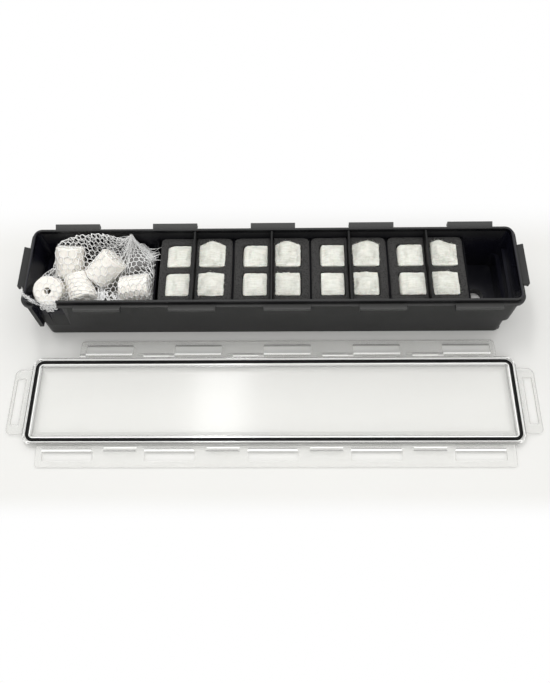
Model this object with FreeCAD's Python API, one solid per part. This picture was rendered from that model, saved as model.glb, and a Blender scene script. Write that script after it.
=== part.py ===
import FreeCAD, Part
import math
import os

# A long, flat aquarium filter box with its snap lid taken off, turned over and laid in front.
# Millimetres. X runs along the tub, Y from the front to the back, Z up.
# The origin is the centre of the tub's base, on the surface that it stands on.

V = FreeCAD.Vector
UP = V(0, 0, 1)

# Tub: rooms along X, then the walls
bag_room = 123.7
outlet_room = 45.7
bays = 4
bay_pitch = 79.0
weir_thickness = 1.8
inner_width = 81.6
wall = 2.4
floor_thickness = 2.6
rim_top = 72.5
rim_corner = 8.0
rim_edge = 0.4
foot_round = 1.5
side_draft = 3.0
end_draft = 1.0
end_step = 4.0
end_step_height = 26.0

inner_length = bag_room + bays * bay_pitch + weir_thickness + outlet_room
rim_length = inner_length + 2 * wall
rim_width = inner_width + 2 * wall
inner_left = -inner_length / 2
inner_right = inner_length / 2

# Rim: a bare tongue stands above the flange, and snap lugs stick out of the flange
tongue_height = 5.0
flange_thickness = 2.2
flange_reach = 3.0
lug_reach = 8.0
end_lug_reach = 8.2
lug_length = 46.0
end_lug_length = 46.0
lug_plate = 2.6
lug_lip = 1.6
lug_drop = 3.6
lug_rise = 3.5
lug_edge = 0.8
lugs_per_side = 5
front_lug_inset = 44.0
front_lug_pitch = 93.5
back_lug_inset = 42.2
back_lug_pitch = 101.6

flange_top = rim_top - tongue_height
flange_low = flange_top - flange_thickness

# Inlet notch in the sunk left end of the front wall, set out from the rim's left end
notch_inset = 9.0
notch_width = 24.6
notch_floor = 49.0
notch_corner = 5.0
recess_length = 42.0
recess_side_run = 8.0
recess_depth = 4.2
recess_low = 20.0
recess_corner = 8.0
fin_inset = 4.5
fin_thickness = 4.1
fin_low = 26.0
shoulder_inset = 4.0
shoulder_depth = 10.2
channel_inset = 19.0
channel_width = 3.2
channel_depth = 1.6

# Outlet in the floor of the right room, with two collars on a raised pad
outlet_radius = 9.0
outlet_inset = 27.1
outlet_y = -2.5
collar_radius = 14.6
collar_top = 9.0
outer_collar_radius = 18.0
outer_collar_top = 7.8
pad_margin_left = 0.3
pad_margin_right = 4.4
pad_margin_side = 2.4
pad_top = 6.8
ledge_length = 68.0
ledge_height = 45.0
ledge_reach = 3.2
ledge_thickness = 2.0

# Floor runners carry the tall baffles and the sponges
runner_top = 12.0
runner_width = 4.0
runner_y = 30.0
runner_gap = 0.5

# Baffles: low weirs between the bays, tall plates through their middles
weir_top = 58.5
plate_thickness = 1.8
plate_top = 71.0
insert_gap = 0.15

# Sponges: one on each side of a tall plate, with two windows each
sponge_top = 61.0
sponge_gap = 0.3
sponge_depth = 78.0
sponge_corner = 5.0
window_outer_border = 8.2
window_inner_border = 3.4
window_depth = 27.0
window_bar = 6.6
window_corner = 1.5
pocket_floor = 31.0

# Floss pads: how far each stands above the sponge, in millimetres
floss_gap = 0.2
floss_draw_in = 0.8
floss_shoulder = 0.62
floss_crown = {"left_front": 2.2, "left_back": 2.0, "right_front": 4.0, "right_back": 7.0}
floss_lean = {"left_front": 0.0, "left_back": 0.0, "right_front": 1.0, "right_back": 3.0}

# Ceramic rings, and the net bag that holds them. The rings are as large as their heap allows.
rings_along = 4
rings_across = 2
heap_spare_length = 9.7
heap_spare_width = 24.6
ring_bore = 7.0
ring_edge = 0.9
ring_stretch = 1.5
ring_gap = 0.3
ring_apart = 0.2
net_thickness = 0.8
bag_clearance = 0.5
bag_waist = 34.0
bag_shoulder = 68.0
bag_top = 77.4
bag_foot_corner = 6.0
bag_waist_corner = 9.0
bag_shoulder_corner = 12.0
bag_top_corner = 14.0
bag_top_left_inset = 10.0
bag_top_right_inset = 18.0
bag_top_front_inset = 6.0
bag_top_back_inset = 8.0
mouth_inset_right = 28.0
mouth_inset_back = 18.8
mouth_radius = 4.0
# Each upper ring lies as it fell. Its centre is in ring diameters from the middle of the heap's
# foot, and its axis has a turn about Z and then a rise.
upper_rings = {
    "ring_front_left": (V(-1.64, -0.68, 1.71), -78, 62),
    "ring_back_left": (V(-1.11, 0.60, 1.68), 86, 42),
    "ring_front": (V(-0.60, -0.55, 1.55), -70, -2),
    "ring_middle": (V(0.29, 0.18, 1.84), 37, 30),
    "ring_front_right": (V(1.41, -0.56, 1.61), 3, 9),
    "ring_back_right": (V(1.36, 0.63, 1.50), -65, 5),
}

# Lid: a raised panel inside a flat edge, a groove with a gasket, and a short skirt
seal_gap = 0.3
gasket_width = 3.0
gasket_height = 2.6
gasket_proud = 1.0
groove_side = 0.1
groove_lip = 1.6
lid_edge = 1.8
lid_reach = 4.0
skirt_gap = 1.2
skirt_thickness = 1.6
skirt_reach = 1.0
panel_rise = 5.7
panel_thickness = 1.8
slope_run = 6.2
panel_corner = 3.0
lid_rest_y = -120.0

# Flaps: each hangs on a thin web along the lid's edge, and its slots snap over the lugs
flap_thickness = 1.5
flap_width = 20.8
end_flap_width = 18.0
hinge_gap = 0.15
slot_start = 5.0
slot_end = 14.5
slot_spare = 2.0
slot_corner = 1.0
flap_corner = 3.0
end_flap_corner = 6.0
front_flap_left_inset = 43.0
front_flap_right_inset = 14.0
back_flap_left_inset = 12.0
back_flap_right_inset = 8.0
end_flap_length = 70.0
flap_pad_length = 33.0
flap_pad_start = 1.6
flap_pad_end = 4.4
flap_pad_height = 0.9
table_gap = 0.05

gasket_low = rim_top + seal_gap
groove_roof = gasket_low + gasket_height
lid_edge_top = groove_roof + lid_edge
panel_low = gasket_low + panel_rise
panel_top = panel_low + panel_thickness
hinge_height = groove_roof + lid_edge / 2
notch_left = -rim_length / 2 + notch_inset
notch_right = notch_left + notch_width
recess_right = -rim_length / 2 + recess_length
shoulder_x = -rim_length / 2 + shoulder_inset
shoulder_y = -rim_width / 2 + shoulder_depth
channel_x = -rim_length / 2 + channel_inset
outlet_x = inner_right - outlet_inset
front_lug_last = rim_length / 2 - front_lug_inset
back_lug_last = rim_length / 2 - back_lug_inset
heap_length = bag_room - heap_spare_length
heap_width = inner_width - heap_spare_width
ring_diameter = min(heap_length / rings_along, heap_width / rings_across)
ring_length = ring_diameter + ring_stretch


def box(x_low, x_high, y_low, y_high, z_low, z_high):
    return Part.makeBox(x_high - x_low, y_high - y_low, z_high - z_low, V(x_low, y_low, z_low))


def rounded_outline(half_x, half_y, corner, z):
    """A closed rectangle with round corners, about the Z axis."""
    middle = corner * math.sqrt(0.5)
    edges = []
    spots = [(1, 1), (-1, 1), (-1, -1), (1, -1)]
    for step, (side_x, side_y) in enumerate(spots):
        centre = V(side_x * (half_x - corner), side_y * (half_y - corner), z)
        along_x = centre + V(side_x * corner, 0, 0)
        along_y = centre + V(0, side_y * corner, 0)
        halfway = centre + V(side_x * middle, side_y * middle, 0)
        first, last = (along_x, along_y) if step % 2 == 0 else (along_y, along_x)
        edges.append((first, halfway, last))
    wire = []
    for step, (first, halfway, last) in enumerate(edges):
        wire.append(Part.Arc(first, halfway, last).toShape())
        following = edges[(step + 1) % len(edges)][0]
        wire.append(Part.LineSegment(last, following).toShape())
    return Part.Wire(wire)


def slab(half_x, half_y, corner, z_low, z_high):
    face = Part.Face(rounded_outline(half_x, half_y, corner, z_low))
    return face.extrude(V(0, 0, z_high - z_low))


def tapered(low, high):
    """A solid between two outlines, each (half_x, half_y, corner, z)."""
    return Part.makeLoft([rounded_outline(*low), rounded_outline(*high)], True, True)


def seam_plan(offset):
    """The tongue's middle line, moved out by offset: half_x, half_y and corner."""
    step = offset - wall / 2
    return rim_length / 2 + step, rim_width / 2 + step, rim_corner + step


def seam_frame(outer, inner, z_low, z_high):
    """A frame that follows the tongue, between two offsets from its middle line."""
    return slab(*seam_plan(outer), z_low, z_high).cut(slab(*seam_plan(inner), z_low - 1, z_high + 1))


def wall_half_width(z):
    """Half the tub's outer width at a height, from the drafted front and back walls."""
    return rim_width / 2 - side_draft * (1 - z / rim_top)


def tub_block(inset, z_low, edge):
    """The tub's outside, drawn in all round by inset, cut off at z_low and broken by edge at the top."""
    step_top = end_step_height + inset
    upper_end = rim_length / 2 - end_draft * (1 - step_top / rim_top) - inset
    lower_end = rim_length / 2 - end_draft - end_step - inset
    corner = rim_corner - inset
    low = (lower_end, wall_half_width(z_low) - inset, corner, z_low)
    mid_low = (lower_end, wall_half_width(step_top) - inset, corner, step_top)
    mid_high = (upper_end, wall_half_width(step_top) - inset, corner, step_top)
    half_x, half_y = rim_length / 2 - inset, rim_width / 2 - inset
    top = (half_x, half_y, corner, rim_top - rim_edge)
    last = (half_x - edge, half_y - edge, corner - edge, rim_top)
    return tapered(low, mid_low).fuse([tapered(mid_high, top), tapered(top, last)])


def leaning_front(depth, grow):
    """All in front of a plane that leaves the front wall at the recess's foot and leans in by depth."""
    far = rim_length
    low_front = -wall_half_width(recess_low)
    top_front = -wall_half_width(flange_low)
    lean = math.degrees(math.atan2(depth + top_front - low_front, flange_low - recess_low))
    front = Part.makeBox(far, far, 2 * rim_top, V(-far, -far, -rim_top))
    front.rotate(V(0, 0, 0), V(1, 0, 0), -lean)
    front.translate(V(recess_right, low_front + grow, recess_low))
    return front


def sunk_corner(grow):
    """What the inlet recess takes off the left front corner, grown into the tub by grow."""
    far = rim_length
    inner_x = recess_right - recess_side_run
    foot = V(inner_x, -wall_half_width(recess_low), recess_low)
    head = V(inner_x, recess_depth - wall_half_width(flange_low), flange_low)
    edge = V(recess_right, -wall_half_width(flange_low), flange_low)
    outward = (head - foot).cross(edge - foot).normalize()
    if outward.x < 0:
        outward = outward * -1
    side = Part.makeBox(far, 2 * far, 2 * far, V(-far, -far, -far))
    side.Placement = FreeCAD.Placement(foot + outward * grow, FreeCAD.Rotation(V(1, 0, 0), outward))
    dent = leaning_front(recess_depth, grow).common(side)
    post_x = shoulder_x + recess_corner
    post_y = -wall_half_width(end_step_height) + recess_corner
    shoulder = box(-far, shoulder_x + grow, -far, shoulder_y + grow, -1, rim_top)
    post = Part.makeCylinder(recess_corner - grow, 2 * rim_top, V(post_x, post_y, -1))
    outside = box(-far, post_x, -far, post_y, -1, rim_top)
    return dent.fuse(shoulder.fuse(outside.cut(post)))


def below_flange(shape):
    return shape.common(box(-rim_length, rim_length, -rim_length, rim_length, -1, flange_low))


def tub_room(gap):
    """The space inside the tub, drawn in from its walls by gap."""
    room = tub_block(wall + gap, floor_thickness, -rim_edge)
    return room.cut(sunk_corner(wall + gap))


def lug_solid(centre, length, reach, half, outward, z_top):
    """A snap lug: a wedge that rises outward from the tongue's foot, with a lip under its edge."""
    start = -length / 2
    corners = [V(start, 0, z_top - lug_plate), V(start, reach - lug_lip, z_top - lug_plate),
               V(start, reach - lug_lip, z_top - lug_drop), V(start, reach, z_top - lug_drop),
               V(start, reach, z_top + lug_rise), V(start, wall, z_top), V(start, 0, z_top)]
    lug = Part.Face(Part.makePolygon(corners + corners[:1])).extrude(V(length, 0, 0))
    outer = [edge for edge in lug.Edges if abs(edge.CenterOfMass.y - reach) < 0.01
             and abs(edge.CenterOfMass.z - z_top - lug_rise) < 0.01]
    lug = lug.makeFillet(lug_edge, outer)
    lug.rotate(V(0, 0, 0), UP, math.degrees(math.atan2(outward.y, outward.x)) - 90)
    lug.translate(V(outward.x * half, outward.y * half, 0) + centre)
    return lug


def side_lugs():
    lugs = []
    reach = lug_reach + wall
    for number in range(lugs_per_side):
        front_x = front_lug_last - number * front_lug_pitch
        back_x = back_lug_last - number * back_lug_pitch
        half = rim_width / 2 - wall
        lugs.append(lug_solid(V(front_x, 0, 0), lug_length, reach, half, V(0, -1, 0), flange_top))
        lugs.append(lug_solid(V(back_x, 0, 0), lug_length, reach, half, V(0, 1, 0), flange_top))
    for side in (-1, 1):
        half = rim_length / 2 - wall
        reach = end_lug_reach + wall
        lugs.append(lug_solid(V(0, 0, 0), end_lug_length, reach, half, V(side, 0, 0), flange_top))
    return lugs


def notch_cut():
    """The open U through the sunk front wall, from the notch's floor up through the rim."""
    depth = 4 * recess_corner
    low = box(notch_left, notch_right, -rim_width, shoulder_y, notch_floor, rim_top + 1)
    plain = low.cut(box(notch_left, notch_right, -rim_width, shoulder_y, notch_floor, notch_floor + notch_corner))
    flat = box(notch_left + notch_corner, notch_right - notch_corner, -rim_width, shoulder_y,
               notch_floor, notch_floor + notch_corner)
    cut = plain.fuse(flat)
    for x in (notch_left + notch_corner, notch_right - notch_corner):
        start = V(x, -rim_width / 2 - depth, notch_floor + notch_corner)
        round_end = Part.makeCylinder(notch_corner, depth + rim_width / 2 + shoulder_y, start, V(0, 1, 0))
        cut = cut.fuse(round_end)
    return cut


def weir_x(number):
    return inner_left + bag_room + weir_thickness / 2 + number * bay_pitch


def plate_x(number):
    return weir_x(number) + bay_pitch / 2


def runners():
    rails = []
    length = bay_pitch - weir_thickness - 2 * runner_gap
    for number in range(bays):
        for side in (-1, 1):
            rails.append(box(plate_x(number) - length / 2, plate_x(number) + length / 2,
                             side * runner_y - runner_width / 2, side * runner_y + runner_width / 2,
                             floor_thickness / 2, runner_top))
    return rails


def make_tub():
    shell = tub_block(0, 0, rim_edge).cut(below_flange(sunk_corner(0)))
    foot = [edge for edge in shell.Edges if edge.BoundBox.ZMax < 0.01]
    shell = shell.makeFillet(foot_round, foot)
    flange = slab(rim_length / 2 + flange_reach, rim_width / 2 + flange_reach, rim_corner + flange_reach,
                  flange_low, flange_top)
    fin_left = -rim_length / 2 + fin_inset
    fin = box(fin_left, fin_left + fin_thickness, -rim_width / 2 - flange_reach + lug_edge / 2,
              -inner_width / 2 + recess_depth, fin_low, flange_top - flange_thickness / 2)
    shell = shell.fuse([flange, fin] + side_lugs())
    room = tub_block(wall, floor_thickness, -rim_edge)
    shell = shell.cut(room.cut(below_flange(sunk_corner(wall))))
    room_left = weir_x(bays) + weir_thickness / 2
    pad_y = inner_width / 2 - pad_margin_side
    pad = box(room_left + pad_margin_left, inner_right - pad_margin_right, -pad_y, pad_y,
              floor_thickness / 2, pad_top)
    collars = []
    for radius, top in ((outer_collar_radius, outer_collar_top), (collar_radius, collar_top)):
        start = V(outlet_x, outlet_y, floor_thickness / 2)
        collars.append(Part.makeCylinder(radius, top - floor_thickness / 2, start))
    ledge = box(inner_right - ledge_reach, inner_right + wall / 2, -ledge_length / 2, ledge_length / 2,
                ledge_height - ledge_thickness, ledge_height)
    shell = shell.fuse([pad, ledge] + collars + runners())
    channel = leaning_front(recess_depth + channel_depth, 0).common(
        box(channel_x - channel_width / 2, channel_x + channel_width / 2, -rim_width, 0,
            recess_low, notch_floor + 1))
    bore = Part.makeCylinder(outlet_radius, rim_top, V(outlet_x, outlet_y, -1))
    return shell.cut([notch_cut(), channel, bore]).removeSplitter()


def make_weir(number):
    plate = box(weir_x(number) - weir_thickness / 2, weir_x(number) + weir_thickness / 2,
                -rim_width, rim_width, floor_thickness, weir_top)
    return plate.common(tub_room(insert_gap))


def make_plate(number):
    plate = box(plate_x(number) - plate_thickness / 2, plate_x(number) + plate_thickness / 2,
                -rim_width, rim_width, runner_top, plate_top)
    return plate.common(tub_room(insert_gap))


def sponge_span(number, side):
    """The sponge's two faces along X, the one by the plate first."""
    by_plate = plate_x(number) + side * (plate_thickness / 2 + sponge_gap)
    by_weir = weir_x(number + (side > 0)) - side * (weir_thickness / 2 + sponge_gap)
    return by_plate, by_weir


def window_spans(number, side):
    """The two windows of a sponge half, as (name, x_low, x_high, y_low, y_high)."""
    by_plate, by_weir = sponge_span(number, side)
    ends = sorted((by_plate + side * window_inner_border, by_weir - side * window_outer_border))
    spans = []
    for row, toward in (("front", -1), ("back", 1)):
        near, far = toward * window_bar / 2, toward * (window_bar / 2 + window_depth)
        spans.append((row, ends[0], ends[1], min(near, far), max(near, far)))
    return spans


def pocket(x_low, x_high, y_low, y_high, z_low, z_high, corner):
    block = slab((x_high - x_low) / 2, (y_high - y_low) / 2, corner, z_low, z_high)
    block.translate(V((x_low + x_high) / 2, (y_low + y_high) / 2, 0))
    return block


def make_sponge(number, side):
    by_plate, by_weir = sponge_span(number, side)
    cassette = slab((bay_pitch - weir_thickness) / 2 - sponge_gap, sponge_depth / 2, sponge_corner,
                    runner_top, sponge_top)
    cassette.translate(V(plate_x(number), 0, 0))
    half = box(min(by_plate, by_weir), max(by_plate, by_weir), -rim_width, rim_width, runner_top, sponge_top)
    sponge = cassette.common(half).common(tub_room(sponge_gap))
    for _, x_low, x_high, y_low, y_high in window_spans(number, side):
        sponge = sponge.cut(pocket(x_low, x_high, y_low, y_high, pocket_floor, sponge_top + 1, window_corner))
    return sponge


def make_floss(span, crown, lean):
    """A pad that fills its window, drawn in at its foot, with a crown above the sponge that leans back."""
    _, x_low, x_high, y_low, y_high = span
    half_x = (x_high - x_low) / 2 - floss_gap
    half_y = (y_high - y_low) / 2 - floss_gap
    low = pocket_floor + floss_gap
    sections = [
        (half_x - 2 * floss_draw_in, half_y - 2 * floss_draw_in, 2 * window_corner, low),
        (half_x, half_y, window_corner, low + 2 * floss_draw_in),
        (half_x, half_y, window_corner, sponge_top),
        (half_x - floss_draw_in, half_y - floss_draw_in, 2 * window_corner, sponge_top + 0.5 * crown),
        (half_x * floss_shoulder, half_y * floss_shoulder, 2 * window_corner, sponge_top + crown),
    ]
    outlines = [rounded_outline(*section) for section in sections]
    outlines[-1].translate(V(0, lean, 0))
    pad = Part.makeLoft(outlines, True, True)
    pad.translate(V((x_low + x_high) / 2, (y_low + y_high) / 2, 0))
    return pad


def ring_solid(centre, axis):
    """A short thick tube about an axis, with its outer edges broken."""
    start = centre - axis * (ring_length / 2)
    body = Part.makeCylinder(ring_diameter / 2, ring_length, start, axis)
    body = body.makeChamfer(ring_edge, [edge for edge in body.Edges if edge.Length > 2 * ring_length
                                        and edge.Closed])
    return body.cut(Part.makeCylinder(ring_bore / 2, ring_length + 2, start - axis, axis))


def direction(turn, rise):
    level = math.cos(math.radians(rise))
    return V(level * math.cos(math.radians(turn)), level * math.sin(math.radians(turn)),
             math.sin(math.radians(rise)))


def heap_foot():
    """The middle of the floor under the rings: inside the lower end wall, the weir and the net."""
    foot_left = inner_left + end_step + end_draft
    foot_right = weir_x(0) - weir_thickness / 2
    return V((foot_left + foot_right) / 2, 0, floor_thickness + bag_clearance + net_thickness + ring_gap)


def low_ring_centre(column, row):
    along = ((rings_along - 1) / 2 - column) * (ring_diameter + ring_apart)
    across = (row - (rings_across - 1) / 2) * (ring_length + ring_apart)
    return heap_foot() + V(along, across, ring_diameter / 2)


def upper_ring(name):
    place, turn, rise = upper_rings[name]
    return heap_foot() + place * ring_diameter, direction(turn, rise)


def bag_block(inset):
    """The bag's outside, drawn in by inset: a sagging block with a dome, and a bulge at the notch."""
    right = weir_x(0) - weir_thickness / 2 - bag_clearance - inset
    foot_left = inner_left + end_step + end_draft + bag_clearance + inset
    left = inner_left + bag_clearance + end_draft + inset
    low = floor_thickness + bag_clearance + inset
    foot_y = wall_half_width(0) - wall - bag_clearance - inset
    back_y = wall_half_width(bag_waist) - wall - bag_clearance - inset
    front_y = wall - back_y
    outlines = []
    for x_low, x_high, y_low, y_high, corner, z in (
        (foot_left, right, -foot_y, foot_y, bag_foot_corner, low),
        (foot_left, right, -foot_y, foot_y, bag_foot_corner, bag_waist - end_step),
        (left, right, front_y, back_y, bag_waist_corner, bag_waist),
        (left, right, front_y, back_y, bag_shoulder_corner, bag_shoulder),
        (left + bag_top_left_inset, right - bag_top_right_inset, front_y + bag_top_front_inset,
         back_y - bag_top_back_inset, bag_top_corner, bag_top - inset),
    ):
        outline = rounded_outline((x_high - x_low) / 2, (y_high - y_low) / 2, corner - inset, z)
        outline.translate(V((x_low + x_high) / 2, (y_low + y_high) / 2, 0))
        outlines.append(outline)
    far = rim_length
    margin = bag_clearance + inset
    sunk_y = recess_depth + wall + margin - wall_half_width(flange_low)
    sunk_wall = box(-far, recess_right + margin, -far, sunk_y, -1, rim_top)
    block = Part.makeLoft(outlines, True, True).cut([sunk_corner(wall + margin), sunk_wall])
    centre, axis = upper_ring("ring_front_left")
    spare = net_thickness + ring_gap - inset
    bulge = Part.makeCylinder(ring_diameter / 2 + spare, ring_length + 2 * spare,
                              centre - axis * (ring_length / 2 + spare), axis)
    for x_low, x_high in ((-far, notch_left + margin), (notch_right - margin, far)):
        bulge = bulge.cut(box(x_low, x_high, -far, sunk_y, -1, rim_top))
    return block.fuse(bulge)


def make_bag():
    """A thin shell, open at the mouth where its neck is drawn together."""
    mouth_x = weir_x(0) - mouth_inset_right
    mouth_y = inner_width / 2 - mouth_inset_back
    mouth = Part.makeCylinder(mouth_radius, bag_top, V(mouth_x, mouth_y, bag_shoulder))
    return bag_block(0).cut([bag_block(net_thickness), mouth])


def turned_over(shape):
    """From its place on the tub to its place on the table: half a turn about a line along X."""
    turned = shape.copy()
    turned.rotate(V(0, lid_rest_y / 2, panel_top / 2), V(1, 0, 0), 180)
    return turned


def make_lid():
    lip_outer = gasket_width / 2 + groove_side
    lip_inner = lip_outer + groove_lip
    skirt_inner = wall / 2 + skirt_gap
    lip_low = gasket_low + gasket_proud
    plate = slab(*seam_plan(wall / 2 + lid_reach), groove_roof, lid_edge_top)
    inner_lip = seam_frame(-lip_outer, -lip_inner, lip_low, groove_roof)
    outer_lip = seam_frame(skirt_inner, lip_outer, lip_low, groove_roof)
    skirt = seam_frame(skirt_inner + skirt_thickness, skirt_inner, rim_top - skirt_reach, groove_roof)
    x, y, _ = seam_plan(-lip_inner - slope_run)
    hollow = tapered((*seam_plan(-lip_inner), lip_low), (x, y, panel_corner, panel_low))
    x, y, corner = x + panel_thickness, y + panel_thickness, panel_corner + panel_thickness
    dome = tapered((*seam_plan(-lip_outer), groove_roof), (x, y, corner, panel_top))
    lid = plate.fuse([inner_lip, outer_lip, skirt, dome]).cut(hollow)
    return turned_over(lid.removeSplitter())


def make_gasket():
    return turned_over(seam_frame(gasket_width / 2, -gasket_width / 2, gasket_low, groove_roof))


def droop(width):
    """How far a flap hangs below the lid's edge before its tip meets the table."""
    room = panel_top - hinge_height - flap_thickness / 2 - table_gap
    return math.degrees(math.asin(room / width))


def flap_solid(start, end, width, slots, corner):
    """A flap along X from start to end, pointing to +Y from its hinge line at the origin."""
    half = flap_thickness / 2
    plate = box(start, end, 0, width, -half, half)
    outer = [edge for edge in plate.Edges
             if abs(edge.CenterOfMass.y - width) < half and abs(edge.CenterOfMass.z) < half / 2]
    plate = plate.makeFillet(corner, [edge for edge in outer if edge.Length < 2 * flap_thickness])
    web = Part.makeCylinder(half, end - start, V(start, 0, 0), V(1, 0, 0))
    flap = plate.fuse([web] + flap_pads(slots))
    middle = (slot_start + slot_end) / 2
    for centre, length in slots:
        hole = slab(length / 2, (slot_end - slot_start) / 2, slot_corner, -flap_thickness, flap_thickness)
        hole.translate(V(centre, middle, 0))
        flap = flap.cut(hole)
    return flap


def flap_pads(slots):
    """A low pad by the hinge between each slot and the next, on the side that faces the tub."""
    pads = []
    centres = sorted(centre for centre, _ in slots)
    for first, second in zip(centres, centres[1:]):
        middle = (first + second) / 2
        pads.append(box(middle - flap_pad_length / 2, middle + flap_pad_length / 2, flap_pad_start,
                        flap_pad_end, -flap_thickness / 2 - flap_pad_height, 0))
    return pads


def long_slots(last, pitch):
    return [(last - number * pitch, lug_length + 2 * slot_spare) for number in range(lugs_per_side)]


def hinge_offset():
    return lid_reach + hinge_gap + flap_thickness / 2


def placed_flap(flap, width, turn, half):
    """Swing a flap to its drooping rest, turn it to its side of the lid, and set it down."""
    flap.rotate(V(0, 0, 0), V(1, 0, 0), droop(width))
    flap.rotate(V(0, 0, 0), UP, turn)
    reach = half + hinge_offset()
    flap.translate(V(-math.sin(math.radians(turn)) * reach, math.cos(math.radians(turn)) * reach, hinge_height))
    return turned_over(flap)


def make_flaps():
    front_slots = [(-centre, length) for centre, length in long_slots(front_lug_last, front_lug_pitch)]
    back_slots = long_slots(back_lug_last, back_lug_pitch)
    end_slots = [(0, end_lug_length + 2 * slot_spare)]
    half_x, half_y, half_end = rim_length / 2, rim_width / 2, end_flap_length / 2
    front = flap_solid(front_flap_right_inset - half_x, half_x - front_flap_left_inset, flap_width,
                       front_slots, flap_corner)
    back = flap_solid(back_flap_left_inset - half_x, half_x - back_flap_right_inset, flap_width,
                      back_slots, flap_corner)
    flaps = {
        "flap_front": placed_flap(front, flap_width, 180, half_y),
        "flap_back": placed_flap(back, flap_width, 0, half_y),
    }
    for name, turn in (("flap_left", 90), ("flap_right", -90)):
        flap = flap_solid(-half_end, half_end, end_flap_width, end_slots, end_flap_corner)
        flaps[name] = placed_flap(flap, end_flap_width, turn, half_x)
    return flaps


def make_parts():
    parts = {"tub": make_tub()}
    for number in range(bays + 1):
        parts[f"weir_{number + 1}"] = make_weir(number)
    for number in range(bays):
        parts[f"baffle_{number + 1}"] = make_plate(number)
        for half, side in (("left", -1), ("right", 1)):
            parts[f"sponge_{number + 1}_{half}"] = make_sponge(number, side)
            for span in window_spans(number, side):
                place = f"{half}_{span[0]}"
                pad = make_floss(span, floss_crown[place], floss_lean[place])
                parts[f"floss_{number + 1}_{place}"] = pad
    parts["ring_bag"] = make_bag()
    for name in upper_rings:
        parts[name] = ring_solid(*upper_ring(name))
    for column in range(rings_along):
        for row in range(rings_across):
            name = f"ring_low_{column + 1}_{'front' if row == 0 else 'back'}"
            parts[name] = ring_solid(low_ring_centre(column, row), V(0, 1, 0))
    parts["lid"] = make_lid()
    parts["lid_gasket"] = make_gasket()
    parts.update(make_flaps())
    return parts


def main():
    os.makedirs("parts", exist_ok=True)
    for name, shape in make_parts().items():
        if not shape.isValid():
            print("not valid:", name)
        shape.exportStep(f"parts/{name}.step")
        print(name, len(shape.Solids), round(shape.Volume, 1))


main()
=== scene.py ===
import math

import bmesh
import bpy
import numpy as np
from mathutils import Matrix, Vector, noise

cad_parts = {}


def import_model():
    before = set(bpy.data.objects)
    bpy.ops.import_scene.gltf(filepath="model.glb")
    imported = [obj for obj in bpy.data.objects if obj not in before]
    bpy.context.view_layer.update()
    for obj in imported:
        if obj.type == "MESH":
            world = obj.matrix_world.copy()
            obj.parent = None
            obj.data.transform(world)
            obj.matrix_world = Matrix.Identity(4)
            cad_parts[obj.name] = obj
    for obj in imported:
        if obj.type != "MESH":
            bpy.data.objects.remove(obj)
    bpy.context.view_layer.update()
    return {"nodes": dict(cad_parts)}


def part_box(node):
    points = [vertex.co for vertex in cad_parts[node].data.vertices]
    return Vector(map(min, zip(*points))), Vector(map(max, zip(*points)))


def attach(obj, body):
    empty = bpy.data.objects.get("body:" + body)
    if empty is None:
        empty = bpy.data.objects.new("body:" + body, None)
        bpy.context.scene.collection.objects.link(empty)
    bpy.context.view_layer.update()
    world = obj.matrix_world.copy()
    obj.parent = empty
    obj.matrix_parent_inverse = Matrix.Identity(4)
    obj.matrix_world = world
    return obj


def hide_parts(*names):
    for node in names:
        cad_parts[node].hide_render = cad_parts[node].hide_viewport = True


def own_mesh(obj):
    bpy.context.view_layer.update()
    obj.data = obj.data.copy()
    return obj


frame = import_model()

# An overhead trickle filter box: the black tub with its sponge and floss cassettes and its net
# bag of ceramic rings, and the clear snap lid, which lies upside down before it.

MM = 0.001
noise.seed_set(1)  # without a seed, noise_vector differs from run to run


# ---- Shader maths -------------------------------------------------------------------------

class Socket:
    """A number or colour that flows through a material; + - * / make Math nodes."""

    def __init__(self, shader, link):
        self.shader = shader
        self.link = link

    def math(self, operation, first, second):
        return self.shader.node("ShaderNodeMath", {"operation": operation}, {0: first, 1: second})

    def __add__(self, other):
        return self.math("ADD", self, other)

    def __radd__(self, other):
        return self.math("ADD", other, self)

    def __sub__(self, other):
        return self.math("SUBTRACT", self, other)

    def __rsub__(self, other):
        return self.math("SUBTRACT", other, self)

    def __mul__(self, other):
        return self.math("MULTIPLY", self, other)

    def __abs__(self):
        return self.math("ABSOLUTE", self, None)


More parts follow.
